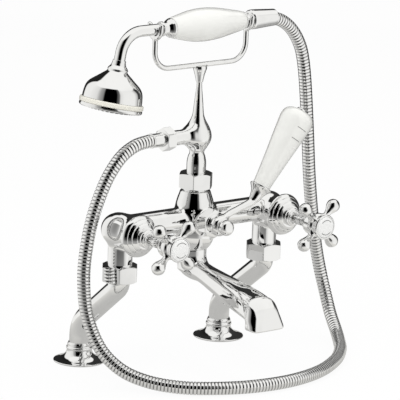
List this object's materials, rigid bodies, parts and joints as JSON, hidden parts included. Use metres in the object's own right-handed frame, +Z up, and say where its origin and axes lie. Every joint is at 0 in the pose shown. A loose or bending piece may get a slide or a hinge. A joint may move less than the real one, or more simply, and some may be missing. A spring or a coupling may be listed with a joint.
{
  "type": "bath shower mixer",
  "caption": "Deck-mounted bath shower mixer with cross handles, a diverter lever, a hood spout, and a handset with a ribbed hose on a riser cradle.",
  "frame": {"origin": "on the deck, midway between the two tap-hole axes", "axes": "+X to the right along the bar, +Z up, the spout and handles face -Y"},
  "size_m": [0.3341, 0.2209, 0.3615],
  "materials": {
    "chrome": "polished chrome plate on brass",
    "hose_metal": "polished ribbed metal hose",
    "glazed_ceramic": "white glazed ceramic",
    "valve_ceramic": "ground ceramic",
    "ivory": "ivory gloss",
    "brass": "machined brass",
    "rubber": "matt rubber"
  },
  "bodies": {
    "mixer": {"left_foot_flange": "chrome", "right_foot_flange": "chrome", "left_leg": "chrome", "right_leg": "chrome", "left_union_nut": "chrome", "right_union_nut": "chrome", "left_leg_washer": "rubber", "right_leg_washer": "rubber", "body": "chrome", "spout": "chrome", "left_cartridge": "brass", "right_cartridge": "brass", "left_fixed_disc": "valve_ceramic", "right_fixed_disc": "valve_ceramic", "left_shroud": "chrome", "right_shroud": "chrome", "left_gland": "chrome", "right_gland": "chrome", "diverter_bonnet": "chrome", "column_nut": "chrome", "riser_washer": "rubber", "riser": "chrome", "cradle": "chrome", "hose_nut": "chrome", "hose_washer": "rubber", "hose_ferrule": "chrome", "hose": "hose_metal"},
    "left_cross": {"left_turning_disc": "valve_ceramic", "left_spindle": "brass", "left_handle": "chrome", "left_handle_screw": "brass", "left_index": "glazed_ceramic", "left_bezel": "chrome"},
    "right_cross": {"right_turning_disc": "valve_ceramic", "right_spindle": "brass", "right_handle": "chrome", "right_handle_screw": "brass", "right_index": "glazed_ceramic", "right_bezel": "chrome"},
    "diverter": {"diverter_stem": "brass", "diverter_lever": "chrome", "lever_cap": "chrome", "lever_grip": "glazed_ceramic", "lever_end_screw": "chrome"},
    "handset": {"handset_head": "chrome", "handset_ring": "ivory", "handset_rim": "chrome", "handset_rose": "chrome", "handset_neck": "chrome", "handset_front_ferrule": "chrome", "handset_grip": "glazed_ceramic", "handset_rear_ferrule": "chrome", "handset_tail": "chrome"}
  },
  "joints": [
    {"name": "left_handle_turn", "type": "hinge", "parent": "mixer", "child": "left_cross", "pos_m": [-0.092, -0.147, 0.1483], "axis": [0, -1, 0], "range_deg": [0, 90]},
    {"name": "right_handle_turn", "type": "hinge", "parent": "mixer", "child": "right_cross", "pos_m": [0.092, -0.147, 0.1483], "axis": [0, -1, 0], "range_deg": [0, 90]},
    {"name": "diverter_turn", "type": "hinge", "parent": "mixer", "child": "diverter", "pos_m": [0, -0.104, 0.15], "axis": [0, -1, 0], "range_deg": [0, 60]},
    {"name": "handset_lift", "type": "slide", "parent": "mixer", "child": "handset", "axis": [0, 0, 1], "range_m": [0, 0.06]}
  ]
}
